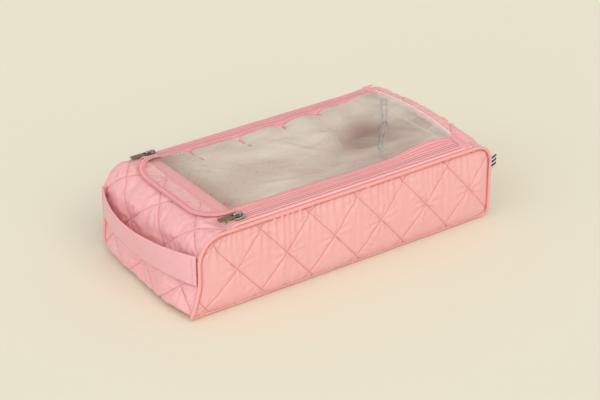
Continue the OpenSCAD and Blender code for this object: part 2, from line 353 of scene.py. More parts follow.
# The binding's and the zip tape's rib lines are darkened as painted shade.
binding_cloth = cloth("binding_tape", screen(238, 170, 167), screen(212, 112, 116),
                      threads=2200.0, depth=0.0002, slub=0.6, shaded_ribs=(2.8, 60.9))
piping_cloth = cloth("piping_cloth", screen(241, 168, 163), screen(230, 148, 144))
tape_cloth = cloth("zip_tape_cloth", screen(242, 186, 181), screen(214, 108, 106),
                   threads=3200.0, depth=0.0002, shaded_ribs=(2.8, 83.8))
lining_cloth = cloth("lining_cloth", screen(255, 236, 218), screen(236, 196, 180), sheen=0.1)
thread = cloth("sewing_thread", screen(222, 118, 116), screen(206, 100, 100), sheen=0.2)
print("cloths made:", [m.name for m in bpy.data.materials])

# %% [markdown]
# ## Quilted panels
#
# Two layers of cloth with wadding between them, sewn through in diamonds. Each panel
# starts as a flat sheet with its rows snapped to the quilting lines. The stitched lines
# and edges are pinned, the cloth is given a little more length than its frame and is
# blown outwards, so it puffs between the lines and puckers where it is held.

# %% The quilting grid
# One diamond is this long and this tall on the flat cloth.
DIAMOND = (54.0, 63.0)


def diamond_uv(s, t, phase, pitch):
    return (s - phase[0]) / pitch[0], (t - phase[1]) / pitch[1]


def snap_to_line(s, t, phase, pitch, step):
    """Move s onto a quilting line that passes within half a step, and say if it did."""
    u, v = diamond_uv(s, t, phase, pitch)
    shifts = [(round(u + v) - (u + v)) * pitch[0], (round(u - v) - (u - v)) * pitch[0]]
    best = min(shifts, key=abs)
    return (s + best, True) if abs(best) < 0.5 * step else (s, False)


def flat_sheet(name, s_range, t_range, step, phase, pitch, place):
    """A grid of cloth over s and t, placed in space by place(s, t). Pins its lines and rim."""
    s0, s1 = s_range
    t0, t1 = t_range
    cols, rows = max(2, round((s1 - s0) / step)), max(2, round((t1 - t0) / step))
    bm = bmesh.new()
    bmesh.ops.create_grid(bm, x_segments=cols, y_segments=rows, size=0.5)
    cloth_uv = bm.loops.layers.uv.new("cloth")
    grid_uv = bm.loops.layers.uv.new("diamonds")
    pins, where = [], []
    for v in bm.verts:
        s, t = s0 + (v.co.x + 0.5) * (s1 - s0), t0 + (v.co.y + 0.5) * (t1 - t0)
        rim = v.is_boundary
        on_line = False
        if not rim:
            s, on_line = snap_to_line(s, t, phase, pitch, step)
        where.append((s, t))
        if rim or on_line:
            pins.append(v.index)
        v.co = Vector(place(s, t)) * MM
    for face in bm.faces:
        for loop in face.loops:
            s, t = where[loop.vert.index]
            loop[cloth_uv].uv = (s * MM, t * MM)
            loop[grid_uv].uv = diamond_uv(s, t, phase, pitch)
    mesh = bpy.data.meshes.new(name)
    bm.to_mesh(mesh)
    bm.free()
    obj = link(bpy.data.objects.new(name, mesh))
    group = obj.vertex_groups.new(name="sewn")
    group.add(pins, 1.0, "REPLACE")
    return obj


# %% Blow the sheets up between their seams


def puff(sheets, pressure=2.2, grow=-0.035, frames=18, cap=6.0):
    """Run all the sheets' cloth together, then keep the shape with no cloth left on them."""
    start = {}
    for obj in sheets:
        start[obj.name] = [v.co.copy() for v in obj.data.vertices]
        m = obj.modifiers.new("wadding", "CLOTH")
        s = m.settings
        s.quality, s.mass = 6, 0.15
        s.tension_stiffness = s.compression_stiffness = 12
        s.shear_stiffness, s.bending_stiffness = 6, 0.25
        s.vertex_group_mass = "sewn"
        s.use_pressure, s.uniform_pressure_force = True, pressure
        s.shrink_min = s.shrink_max = grow
        s.effector_weights.gravity = 0
        m.collision_settings.use_collision = False
        m.point_cache.frame_start, m.point_cache.frame_end = 1, frames
    for f in range(1, frames + 1):
        scene.frame_set(f)
    graph = bpy.context.evaluated_depsgraph_get()
    for obj in sheets:
        shaped = obj.evaluated_get(graph).data
        most = 0.0
        moved = []
        for v, rest in zip(shaped.vertices, start[obj.name]):
            shift = v.co - rest
            if shift.length > cap * MM:
                shift *= cap * MM / shift.length
            most = max(most, shift.length)
            moved.append(rest + shift)
        obj.modifiers.clear()
        for v, co in zip(obj.data.vertices, moved):
            v.co = co
        print(f"{obj.name}: puffed up to {most / MM:.1f} mm")
    scene.frame_set(1)


# %% Finish a sheet: finer mesh, sewn grooves, ripples, and a back to make it a closed pad


def applied(obj):
    """Replace an object's mesh by what its modifiers make of it."""
    graph = bpy.context.evaluated_depsgraph_get()
    mesh = bpy.data.meshes.new_from_object(obj.evaluated_get(graph))
    obj.modifiers.clear()
    obj.data = mesh
    return obj


def finer(obj, levels=1):
    m = obj.modifiers.new("finer", "SUBSURF")
    m.levels = m.render_levels = levels
    m.boundary_smooth = "PRESERVE_CORNERS"
    return applied(obj)


def line_distance(u, v, pitch):
    """Distance to the nearest quilting line, the way along it, and the nearest crossing."""
    up, down = u + v, u - v
    p, q = up - round(up), down - round(down)
    d, along = (abs(p), down) if abs(p) < abs(q) else (abs(q), up)
    cross = ((p + q) / 2 * pitch[0], (p - q) / 2 * pitch[1], round(up) * 3.7 + round(down) * 1.9)
    return d * pitch[0] * pitch[1] / math.hypot(*pitch), along, cross


def pucker(d, along, cross, where):
    """Small folds that stand across a sewn line, and a star of folds where two lines cross."""
    uneven = 0.6 + noise.noise(where * 0.03)
    wave = math.sin(along * 41 + 9 * noise.noise(where * 0.05))
    folds = 0.34 * uneven * wave * math.exp(-((d / 9) ** 2))
    x, z, seed = cross
    r, turn = math.hypot(x, z), math.atan2(z, x)
    star = math.cos(9 * turn + seed + 2.5 * noise.noise(where * 0.06))
    strength = 0.75 + 0.5 * math.sin(seed * 2.3)
    star *= strength * math.exp(-((r / 15) ** 2)) * (1 - math.exp(-((r / 4) ** 2)))
    return folds * (1 - math.exp(-((d / 1.5) ** 2))) + 0.8 * star


def finish_pad(obj, pitch, depth=3.0, groove=0.9, extra=None, floor=None):
    finer(obj)
    bm = bmesh.new()
    bm.from_mesh(obj.data)
    bm.normal_update()
    cloth_uv = bm.loops.layers.uv["cloth"]
    grid_uv = bm.loops.layers.uv["diamonds"]
    moves = []
    for v in bm.verts:
        loop = v.link_loops[0]
        u, w = loop[grid_uv].uv
        s, t = loop[cloth_uv].uv
        d, along, cross = line_distance(u, w, pitch)
        shift = -groove * math.exp(-((d / 1.3) ** 2)) + pucker(d, along, cross, v.co / MM)
        if extra:
            shift += extra(s / MM, t / MM)
        moves.append(v.normal * shift * MM)
    for v, move in zip(bm.verts, moves):
        v.co += move
        if floor is not None:
            v.co.z = max(v.co.z, floor * MM)
    bm.to_mesh(obj.data)
    bm.free()
    m = obj.modifiers.new("back", "SOLIDIFY")
    m.thickness, m.offset = depth * MM, -1
    applied(obj)
    obj.data.shade_smooth()
    return obj


FOLDING = "folding"


def dress(obj, material, body, *nodes):
    """Give a finished piece its material, its body and the solids that it stands for."""
    obj.data.materials.clear()
    obj.data.materials.append(material)
    if body == FOLDING:
        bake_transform(obj)
    else:
        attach(obj, body)
    if nodes:
        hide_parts(*nodes)
    return obj


# %% [markdown]
# ### The filled top
#
# The bag is stuffed, so its top isn't flat: the long edges of the lid rise and dip by a few
# millimetres. Everything sewn to the lid reads its height from one function, so the film,
# borders, tapes and stitches stay together.

# %% Height of the top
LID_Z = FILM_LOW[2]
NEAR_RISE = [(-152, 0.4), (-118, 1.4), (-100, 1.6), (-78, 0.2), (-36, 0.2), (8, -1.2), (42, -1.0),
             (66, -0.4), (90, 3.2), (115, 4.6), (138, 2.6), (175, 1.5)]
FAR_RISE = [(-152, 1.4), (-118, 3.6), (-98, 4.2), (-84, 2.0), (-62, 1.4), (-30, 0.6), (0, 2.2),
            (23, -0.4), (45, 2.4), (62, 0.4), (78, 3.4), (90, 2.4), (118, 4.6), (138, 3.0),
            (175, 1.5)]


def smooth(f):
    f = min(1.0, max(0.0, f))
    return f * f * (3 - 2 * f)


def through(points, x):
    """A smooth line through a few points."""
    if x <= points[0][0]:
        return points[0][1]
    for (x0, y0), (x1, y1) in zip(points, points[1:]):
        if x <= x1:
            return y0 + (y1 - y0) * smooth((x - x0) / (x1 - x0))
    return points[-1][1]


EDGE_FALL = [(0, 0.6), (WINDOW_HALF, 0.6), (69, 0.2), (75.5, 0.0), (80, -0.4), (82.6, -1.6),
             (SEAM_Y, -3.4)]


def rise(x, y):
    """How far the filled top lifts here, full at the lid's edge and nothing at the side seam."""
    f = min(1.0, max(0.0, (SEAM_Y - abs(y)) / 24)) ** 2
    side = smooth((y + 62) / 124)
    return f * ((1 - side) * through(NEAR_RISE, x) + side * through(FAR_RISE, x))


def far_corners(x, y):
    """The far side's two top corners are filled more fully."""
    front = 3.5 * smooth((-112 - x) / 26) * smooth((y - 25) / 45)
    back = 3.0 * smooth((x - 122) / 26) * smooth((y - 45) / 30)
    return front + back


def back_dome(x, y):
    """The top is fullest in the middle, close to the fold."""
    return 7.0 * max(0.0, 1 - (y / 66) ** 2) * smooth((x - 92) / 44) * smooth((178 - x) / 34)


def lid(x, y):
    """Height of the top at this place."""
    return LID_Z + 0.5 + through(EDGE_FALL, abs(y)) + rise(x, y) + far_corners(x, y)


print("lid height at the middle of the near edge:", round(lid(0, -61), 2))

# %% [markdown]
# ### The two long sides
#
# A side is one flat panel with rounded corners. Its rows are squeezed at the ends so that
# the sheet ends on the rounded outline. It is crowned, as a filled bag is, and its foot
# rolls under the bag, where its seam is hidden.

# %% Long sides
SIDE_X = (PANEL_LOW[0] - 1.5, PANEL_HIGH[0] + 1.5)
SIDE_Z = (1.6, PANEL_HIGH[2] + 1.6)
FOOT_R = 16.0


def foot_tuck(z):
    """How far the side's foot has rolled in under the bag at this height."""
    h = min(FOOT_R, max(0.0, FOOT_R + SIDE_Z[0] - z))
    return 0.6 * FOOT_R * (1 - math.sqrt(1 - (h / FOOT_R) ** 2))


FOOT_OUT = 9.0


def splay(x, y, z):
    """The strap end's foot is pushed outwards, most at the near corner."""
    share = 0.35 + 0.65 * smooth((20 - y) / 110)
    return -FOOT_OUT * share * smooth((-110 - x) / 60) * smooth((42 - z) / 42)


def corner_pull(z, radius_low, radius_high):
    """How far the rounded outline draws in from the end at this height."""
    low, high = SIDE_Z
    if z < low + radius_low:
        r, h = radius_low, low + radius_low - z
    elif z > high - radius_high:
        r, h = radius_high, z - (high - radius_high)
    else:
        return 0.0
    return r - math.sqrt(max(0.0, r * r - h * h))


def on_side(x, z, side=-1):
    """Place a long side's flat cloth on its rounded, crowned outline."""
    x0, x1 = SIDE_X
    blend = 38.0
    if x < x0 + blend:
        x += (1 - (x - x0) / blend) * corner_pull(z, R_BOTTOM - 1, R_TOP_FRONT - 1)
    elif x > x1 - blend:
        x -= (1 - (x1 - x) / blend) * corner_pull(z, R_BOTTOM - 1, R_TOP_BACK - 1)
    a = (x - (x0 + x1) / 2) / ((x1 - x0) / 2)
    b = (z - (SIDE_Z[0] + SIDE_Z[1]) / 2) / ((SIDE_Z[1] - SIDE_Z[0]) / 2)
    crown = 3.6 * max(0.0, 1 - a ** 6) * max(0.0, 1 - b * b)
    return x + splay(x, side * SIDE_Y, z), side * (SIDE_Y - 2.6 + crown - foot_tuck(z)), z


def gathers(x, z):
    """Ripples where the cloth is eased into the top seam."""
    depth = SIDE_Z[1] - z
    wide = noise.noise(Vector((x * 0.02, 3.1, 0)))
    wave = math.sin(x * 0.82 + 5 * noise.noise(Vector((x * 0.05, 0.4, 0))))
    fine = noise.noise(Vector((x * 0.16, z * 0.05, 7.7)))
    long = noise.noise(Vector((x * 0.11, z * 0.012, 2.2))) * (0.4 + max(0.0, wide) * 2)
    return (0.8 + wide) * wave * 1.5 * math.exp(-depth / 15) + fine * 0.3 + long * 1.1


side_near = flat_sheet("side_panel_near_quilt", SIDE_X, SIDE_Z, 2.5, (-129.0, 43.0), DIAMOND,
                       on_side)
side_far = flat_sheet("side_panel_far_quilt", SIDE_X, SIDE_Z, 2.5, (-112.0, 43.0), DIAMOND,
                      lambda x, z: on_side(x, z, 1))
side_far.data.flip_normals()

# %% [markdown]
# ### The end panels and the base
#
# Each end is one quilted piece that starts at the lid, rolls over the top corner and goes
# down the end. The flat cloth is wrapped on that path; the filling pushes it out most at
# the middle of the end.

# %% Wrapping cloth over the ends
SEAM_Z = LOOP_HIGH[2] - CORD_R + 1.2
INSET = 2.4


class Wrap:
    """The path that an end panel's cloth follows in X-Z, from the lid's edge to the base."""

    def __init__(self, start, sign, top_r, bottom_r):
        self.sign, self.r, self.rb = sign, top_r - INSET, bottom_r - INSET
        self.start = start
        self.face = SHELL_X - INSET
        self.top = SEAM_Z
        self.runs = [abs(self.face - self.r - abs(start)), self.r * math.pi / 2,
                     self.top - self.r - self.rb - INSET, self.rb * math.pi / 2]
        self.length = sum(self.runs)

    def at(self, s):
        """Point and outward direction at length s along the path."""
        a, b, c, d = self.runs
        x0 = self.face - self.r
        if s <= a:
            x, z, n = abs(self.start) + s, self.top, (0, 1)
        elif s <= a + b:
            g = (s - a) / self.r
            n = (math.sin(g), math.cos(g))
            x, z = x0 + self.r * n[0], self.top - self.r + self.r * n[1]
        elif s <= a + b + c:
            x, z, n = self.face, self.top - self.r - (s - a - b), (1, 0)
        else:
            g = min(1.0, (s - a - b - c) / d) * math.pi / 2
            n = (math.cos(g), -math.sin(g))
            x = self.face - self.rb + self.rb * n[0]
            z = INSET + self.rb + self.rb * n[1]
        return x * self.sign, z, (n[0] * self.sign, n[1])


FRONT = Wrap(STRIP_X, -1, R_TOP_FRONT, R_BOTTOM)
BACK = Wrap(FOLD_X, 1, R_TOP_BACK, R_BOTTOM)


FAR_DROP = 1.8
FRONT_BULGE, BACK_BULGE = 10.5, 6.5
FULLNESS = [(1, 0.55), (8, 1.0), (24, 0.95), (48, 0.68), (68, 0.3), (80, 0.0)]


def over_end(wrap, s, y, end_bulge):
    """Place the end's flat cloth: along the wrap's path, filled out and raised to the lid."""
    x, z, n = wrap.at(s)
    a = wrap.runs[0] + wrap.runs[1]
    across = max(0.0, 1 - (abs(y) / (SHELL_Y + 1)) ** 3.4)
    top = max(0.0, n[1])
    out = across * 1.8 * top
    if s > a * 0.5:
        x += wrap.sign * across * end_bulge * through(FULLNESS, z)
    shoulder = (rise(x, y) * 0.8 + far_corners(x, y)) * top ** 0.5
    shoulder -= FAR_DROP * smooth((y - 74) / 8) * max(0.0, top)
    shoulder += back_dome(x, y) * top ** 0.5
    x += n[0] * out
    return (x + splay(x, y, z), y * (1 - foot_tuck(z) / (SHELL_Y + 0.5)),
            max(0.9, z + n[1] * out + shoulder))


WIDE = SHELL_Y + 0.5
FRONT_DIAMOND, BACK_DIAMOND = (54.0, 59.5), (54.0, 75.0)
end_front = flat_sheet("end_panel_front_quilt", (0.0, FRONT.length), (-WIDE, WIDE), 2.5,
                       (27.8, -1.0), FRONT_DIAMOND, lambda s, y: over_end(FRONT, s, y, FRONT_BULGE))
end_back = flat_sheet("end_panel_back_quilt", (0.0, BACK.length), (-WIDE, WIDE), 2.5,
                      (24.0, 47.0), BACK_DIAMOND, lambda s, y: over_end(BACK, s, y, BACK_BULGE))
end_front.data.flip_normals()

BASE_X = SHELL_X - R_BOTTOM + 2
BASE_DIAMOND = (56.0, 64.0)
base = flat_sheet("base_panel_quilt", (-BASE_X, BASE_X), (-80.0, 80.0), 4.0, (0.0, 0.0),
                  BASE_DIAMOND, lambda x, y: (x + splay(x, -y, 0), -y, 2.4))


def outward(obj, direction):
    """Make the sheet's faces point the way the cloth should puff."""
    mesh = obj.data
    mean = sum((p.normal * p.area for p in mesh.polygons), Vector())
    if mean.dot(Vector(direction)) < 0:
        mesh.flip_normals()


for panel, direction in ((side_near, (0, -1, 0)), (side_far, (0, 1, 0)),
                         (end_front, (-1, 0, 0.6)), (end_back, (1, 0, 0.6)), (base, (0, 0, -1))):
    outward(panel, direction)

# %% Puff all the panels at once, then sew their grooves
puff([side_near, side_far, end_front, end_back])
puff([base], pressure=0.8, cap=1.4)
finish_pad(side_near, DIAMOND, extra=gathers, floor=0.2)
finish_pad(side_far, DIAMOND, extra=gathers, floor=0.2)


def end_creases(s, y):
    """Wide and fine creases over an end panel, some of them slanting."""
    return 0.8 * noise.noise(Vector((s * 0.07, y * 0.05, 1.3))) \
        + 0.6 * noise.noise(Vector((s * 0.2, y * 0.06, 4.0))) \
        + 0.35 * abs(noise.noise(Vector((s * 0.09 + y * 0.12, y * 0.22 - s * 0.1, 6.0))))


finish_pad(end_front, FRONT_DIAMOND, extra=end_creases, floor=0.2)
finish_pad(end_back, BACK_DIAMOND, extra=end_creases, floor=0.2)
finish_pad(base, BASE_DIAMOND, depth=1.6, groove=0.5, floor=0.0)
for panel, material, node in ((side_near, side_cloth, "side_panel_near"),
                              (side_far, side_cloth, "side_panel_far"),
                              (end_front, end_cloth, "end_panel_front"),
                              (end_back, end_cloth, "end_panel_back"),
                              (base, end_cloth, "base_panel")):
    dress(panel, material, "bag", node)

# %% [markdown]
# ## Plain cloth pieces
#
# Linings, tapes, bands and the strap are single or folded layers. Each is a small grid
# bent into place, given its thickness and a fine mesh. Its flat coordinates stay on it,
# so the weave runs along the piece.

# %% A ribbon helper


def ribbon(name, s_range, t_range, step, place, thick, material, body, *nodes, offset=-1,
           up=(0, 0, 1), levels=1):
    s0, s1 = s_range
    t0, t1 = t_range
    cols = max(2, round((s1 - s0) / step[0]))
    rows = max(2, round((t1 - t0) / step[1]))
    bm = bmesh.new()
    bmesh.ops.create_grid(bm, x_segments=cols, y_segments=rows, size=0.5)
    uv = bm.loops.layers.uv.new("cloth")
    where = []
    for v in bm.verts:
        s, t = s0 + (v.co.x + 0.5) * (s1 - s0), t0 + (v.co.y + 0.5) * (t1 - t0)
        where.append((s, t))
        v.co = Vector(place(s, t)) * MM
    for face in bm.faces:
        for loop in face.loops:
            s, t = where[loop.vert.index]
            loop[uv].uv = (s * MM, t * MM)
    mesh = bpy.data.meshes.new(name)
    bm.to_mesh(mesh)
    bm.free()
    obj = link(bpy.data.objects.new(name, mesh))
    outward(obj, up)
    if levels:
        finer(obj, levels)
    m = obj.modifiers.new("thickness", "SOLIDIFY")
    m.thickness, m.offset = thick * MM, offset
    applied(obj)
    obj.data.shade_smooth()
    return dress(obj, material, body, *nodes)


# %% Linings
FLOOR_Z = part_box("lining_base")[1].z / MM


def crumple(x, y, z, amount):
    """Soft unevenness of cloth that hangs loosely against a wall."""
    p = Vector((x * 0.018, y * 0.022, z * 0.022))
    return amount * (noise.noise(p) + 0.5 * abs(noise.noise(p * 2.7)))


def crease_the_lining():
    """The lining's cloth, with painted shade in its shaded places and along thin wandering crease
    lines.
    """
    mat = lining_cloth
    t = mat.node_tree
    bsdf = t.nodes["Principled BSDF"]
    plain = bsdf.inputs["Base Color"].links[0].from_socket
    place = add_node(t, "TexCoord").outputs["Object"]
    # Painted shade: thin wandering crease lines, darkened as shade in the lining's folds.
    field = add_node(t, "TexNoise", {"Vector": place, "Scale": 17.0, "Detail": 1.5,
                                     "Distortion": 0.7}).outputs["Fac"]
    wave = maths(t, "PINGPONG", maths(t, "MULTIPLY", field, 7.0), 0.5)
    ring = maths(t, "ABSOLUTE", maths(t, "SUBTRACT", wave, 0.25))
    line = add_node(t, "MapRange", {"Value": ring, "From Max": 0.035, "To Min": 0.45,
                                    "To Max": 0.0}, interpolation_type="SMOOTHSTEP").outputs[0]
    painted_shade = add_node(t, "Attribute", attribute_name="painted_shade").outputs["Fac"]
    dark = maths(t, "MAXIMUM", line, painted_shade, clamp=True)
    # Painted shade: crease lines and shaded places mix the lining toward a dark rose.
    mix = add_node(t, "Mix", {0: dark, 6: plain, 7: screen(174, 78, 74)}, data_type="RGBA")
    t.links.new(mix.outputs[2], bsdf.inputs["Base Color"])


crease_the_lining()


def lining_painted_shade(x, z):
    """How deep the painted shade on the lining is: in the far back corner and along the foot."""
    return min(1.0, 0.9 * math.exp(-(((x - 128) / 30) ** 2) - ((z - 38) / 24) ** 2)
               + 0.6 * math.exp(-(((x - 96) / 40) ** 2) - ((z - 10) / 16) ** 2)
               + 0.3 * math.exp(-(((x + 2) / 34) ** 2) - ((z - 8) / 10) ** 2))


def lining_side(sign):
    def place(x, z):
        high = (z - 6) / 76
        pull = 14 * max(0.0, high - 0.72) if x < -120 else 0.0
        return (x * (1 - 0.02 * high) + pull, sign * (81.2 + crumple(x, 0, z, 1.1) - 1.0), z)
    return place


LINING_X, LINING_Y, FLOOR_X = 160, 80, 156
LINING_Z = (6, 80)


def lining(name, s_range, t_range, place, up=(0, 0, 1), step=(5, 5)):
    return ribbon(f"lining_{name}_cloth", s_range, t_range, step, place, 0.5, lining_cloth, "bag",
                  f"lining_{name}", up=up)


lining_near = lining("near", (-LINING_X, LINING_X), LINING_Z, lining_side(-1), (0, 1, 0))
lining_far = lining("far", (-LINING_X, LINING_X), LINING_Z, lining_side(1), (0, -1, 0))


def lining_end(wrap):
    def place(s, y):
        x, z, n = wrap.at(s)
        d = 4.6 + crumple(s, y, 5.0, 0.9)
        return x - n[0] * d, y, z - n[1] * d
    return place


lining_front = lining("front", (0, FRONT.length), (-LINING_Y, LINING_Y), lining_end(FRONT),
                      (1, 0, -0.6), (4, 5))
lining_back = lining("back", (0, BACK.length), (-LINING_Y, LINING_Y), lining_end(BACK),
                     (-1, 0, -0.6), (4, 5))


def lining_floor(x, y):
    edge = min(1.0, (FLOOR_X - abs(x)) / 20, (LINING_Y - abs(y)) / 14)
    folds = abs(noise.noise(Vector((x * 0.017 + y * 0.012, y * 0.03, 2.0))))
    return x, y, FLOOR_Z + 0.4 + max(0.0, edge) * (2.0 + 9.0 * folds)


floor_cloth = lining("base", (-FLOOR_X, FLOOR_X), (-LINING_Y, LINING_Y), lining_floor)
side_size = (2 * LINING_X, LINING_Z[1] - LINING_Z[0])
for piece, flat, under in ((lining_near, side_size, "side_panel_near"),
                           (lining_far, side_size, "side_panel_far"),
                           (lining_front, (2 * LINING_Y, FRONT.length), "end_panel_front"),
                           (lining_back, (2 * LINING_Y, BACK.length), "end_panel_back"),
                           (floor_cloth, (2 * LINING_Y, 2 * FLOOR_X), "base_panel")):
    # Painted shade is stored on each lining piece as a point value.
    data = piece.data.attributes.new("painted_shade", "FLOAT", "POINT").data
    for v, item in zip(piece.data.vertices, data):
        item.value = lining_painted_shade(v.co.x / MM, v.co.z / MM)
print("linings done")

# %% [markdown]
# ### The lid: clear film, bands and zip tapes
#
# The film is soft vinyl that has been folded, so it keeps creases. Each crease is a ridge
# along a line, and a few gathers run in from the far band where the film is caught.

# %% Creases in the film
GATHERS = [(-88, 60, -86, 50, 1.6), (-33, 60, -32, 42, 2.2), (18, 60, 16, 34, 2.0),
           (62, 60, 54, 46, 1.4), (95, 60, 92, 50, 2.0)]
CREASES = [(-20, 44, 30, -14, 1.5), (20, 38, 74, 10, 1.3), (58, 20, 30, -34, 1.6),
           (92, -4, 118, -48, 1.5), (40, -18, 96, -36, 1.5), (-70, -30, -30, -44, 1.2),
           (-50, 6, -14, -8, 1.0), (-62, -6, -40, 20, 0.9), (130, 36, 103, 0, 1.6),
           (103, 0, 73, -32, 2.6), (112, 30, 132, 10, 1.1), (-95, 30, -70, 0, 0.8)]
# Sharp folds that are drawn only as painted shade lines on the film, not in its shape.
SHARP_FOLDS = [(130, 36, 103, 0, 0.8), (103, 0, 84, -19, 1.0), (84, -19, 73, -32, 1.0),
               (73, -32, 70, -50, 0.7), (84, -19, 62, -4, 0.45), (103, 0, 128, -16, 0.35),
               (20, 10, 44, -4, 0.3), (44, -4, 30, -22, 0.3), (40, 30, 70, 22, 0.25)]


def ridge(x, y, x0, y0, x1, y1, height, width):
    dx, dy = x1 - x0, y1 - y0
    f = ((x - x0) * dx + (y - y0) * dy) / (dx * dx + dy * dy)
    g = min(1.0, max(0.0, f))
    bend = 3.0 * math.sin(math.pi * g) * math.sin(x0 + y0)
    away = math.hypot(x - x0 - g * dx, y - y0 - g * dy + bend)
    taper = math.sin(math.pi * min(1.0, max(0.02, 0.1 + 0.85 * g)))
    return height * taper * math.exp(-((away / width) ** 2))


def film_height(x, y):
    """The film hangs a little between its bands, with its creases standing up from it."""
    z = lid(x, max(-WINDOW_HALF, min(WINDOW_HALF, y))) - 0.5
    f = max(0.0, 1 - (y / 60) ** 2)
    ends = smooth((x + 118) / 30) * smooth((137 - x) / 16)
    z += back_dome(x, y) - 3.4 * f * ends
    for c in CREASES:
        z += ends * ridge(x, y, *c, 3.6)
    for c in GATHERS:
        z += 0.8 * ridge(x, y, *c, 2.0)
    p = Vector((x * 0.022, y * 0.03, 0.7))
    z += ends * f ** 0.5 * 2.0 * noise.noise(p) + 0.5 * noise.noise(p * 3.1) * ends
    return z


FLAP_X0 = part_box("flap_binding")[0].x / MM
FLAP_R = 30.0


def film_place(x, y):
    """The film's left end is rounded under the binding."""
    half = 62.0
    if x < FLAP_X0 + 1.5 + FLAP_R:
        inner = half - FLAP_R + math.sqrt(max(0.0, FLAP_R ** 2 - (FLAP_X0 + 1.5 + FLAP_R - x) ** 2))
        y *= inner / half
    return x, y, film_height(x, y)


def clear_film():
    """Clear vinyl: glossy and hazy, with grey lines where it is creased. The haze is partly real
    and partly a painted cream reflection; the grey crease lines are painted shade.
    """
    mat = bpy.data.materials.new("clear_film")
    mat.use_nodes = True
    t = mat.node_tree
    bsdf = t.nodes["Principled BSDF"]
    bsdf.inputs["Roughness"].default_value = 0.14
    bsdf.inputs["Specular IOR Level"].default_value = 0.6
    place = add_node(t, "TexCoord").outputs["Object"]
    stretched = add_node(t, "Mapping", {"Vector": place, "Rotation": (0, 0, 0.7),
                                        "Scale": (9.0, 24.0, 12.0)})
    haze = add_node(t, "TexNoise", {"Vector": stretched.outputs[0], "Scale": 1.0, "Detail": 3.0,
                                    "Distortion": 0.6})
    cloudy = add_node(t, "MapRange", {"Value": haze.outputs["Fac"], "From Min": 0.35,
                                      "From Max": 0.7, "To Min": 0.8, "To Max": 1.5})
    # Painted reflection, partly real haze: the film's cream veil, stored per point.
    thick = add_node(t, "Attribute", attribute_name="haze_and_reflection").outputs["Fac"]
    haze_and_reflection = add_node(t, "Math", {0: cloudy.outputs[0], 1: thick}, operation="MULTIPLY")
    crease_shade = add_node(t, "Attribute", attribute_name="crease_shade").outputs["Fac"]
    alpha = maths(t, "ADD", haze_and_reflection.outputs[0], maths(t, "MULTIPLY", crease_shade, 0.5), clamp=True)
    t.links.new(alpha, bsdf.inputs["Alpha"])
    # Painted shade: the creases tint the film toward dark grey.
    tint = add_node(t, "Mix", {0: crease_shade, 6: screen(244, 234, 214), 7: screen(104, 96, 98)},
                    data_type="RGBA")
    t.links.new(tint.outputs[2], bsdf.inputs["Base Color"])
    fine = add_node(t, "TexNoise", {"Vector": place, "Scale": 120.0, "Detail": 2.0})
    bump = add_node(t, "Bump", {"Height": fine.outputs["Fac"], "Distance": 0.0003,
                                "Strength": 0.4})
    t.links.new(bump.outputs["Normal"], bsdf.inputs["Normal"])
    return mat


def crease_shade_mark(x, y):
    """How dark the painted shade of the film's creases is here: two thin lines beside each sharp
    fold.
    """
    mark = 0.0
    wander = 1.8 * noise.noise(Vector((x * 0.07, y * 0.07, 5.0)))
    for x0, y0, x1, y1, dark in SHARP_FOLDS:
        dx, dy = x1 - x0, y1 - y0
        f = ((x - x0) * dx + (y - y0) * dy) / (dx * dx + dy * dy)
        g = min(1.0, max(0.0, f))
        away = math.hypot(x - x0 - g * dx, y - y0 - g * dy) + wander
        line = math.exp(-(((away - 2.2) / 0.9) ** 2)) + 0.25 * math.exp(-((away / 2.6) ** 2))
        mark = max(mark, dark * line)
    return min(1.0, mark * (0.65 + 0.5 * noise.noise(Vector((x * 0.12, y * 0.12, 8.0)))))


film_clear = clear_film()
film = ribbon("window_film_sheet", (FLAP_X0 + 1.5, FOLD_X + 0.6), (-62, 62), (2.6, 2.6), film_place,
              0.35, film_clear, FOLDING, "window_film", levels=1)


def blob(x, y, x0, y0, wide, tall):
    return math.exp(-(((x - x0) / wide) ** 2) - ((y - y0) / tall) ** 2)


def film_haze_and_reflection(x, y):
    """The film's haze is clearest over the cloth at its left end and greyest at mid length; it is
    partly real haze and partly a painted cream reflection.
    """
    return 0.07 + 0.25 * smooth((x + 122) / 30) * (1 - 0.8 * blob(x, y, 78, -6, 34, 34)) \
        + 0.14 * blob(x, y, -10, 34, 60, 22)


def vertex_values(obj, name, value):
    data = obj.data.attributes.new(name, "FLOAT", "POINT").data
    for v, item in zip(obj.data.vertices, data):
        item.value = value(v.co.x / MM, v.co.y / MM)


vertex_values(film, "crease_shade", crease_shade_mark)
vertex_values(film, "haze_and_reflection", film_haze_and_reflection)
print("film has", len(film.data.polygons), "faces")

# %% Border bands down both long edges
BAND = (-BORDER_LOW[1], -BORDER_HIGH[1])
TURN_X = FLAP_X0 + 31.0
# Where the band is gathered into the film: x, how far in, and how wide.
PINCHES = {1: [(-88, 4, 5), (-33, 8, 3.5), (18, 7, 4), (62, 3, 4), (95, 5, 4)],
           -1: [(-60, 1.6, 7), (-12, 1.2, 10), (40, 1.6, 8), (74, 1.0, 7), (106, 3.0, 16)]}


def pinch(x, sign):
    return sum(d * math.exp(-(((x - x0) / w) ** 2)) for x0, d, w in PINCHES[sign])


def border_place(sign):
    def place(x, t):
        t -= pinch(x, sign) * (BAND[0] - t) / (BAND[0] - BAND[1])
        y = sign * t
        round_off = 0.5 * ((t - 64.7) / 4.3) ** 2
        return x, y, lid(x, y) + 0.55 - round_off + 0.12 * noise.noise(Vector((x * 0.2, t, 0)))
    return place


for name, sign in (("near", -1), ("far", 1)):
    ribbon(f"flap_border_{name}_band", (TURN_X + 3, INNER_HIGH[0]), (BAND[1], BAND[0]),
           (3, 1.1), border_place(sign), 0.9, binding_cloth, FOLDING, f"flap_border_{name}")

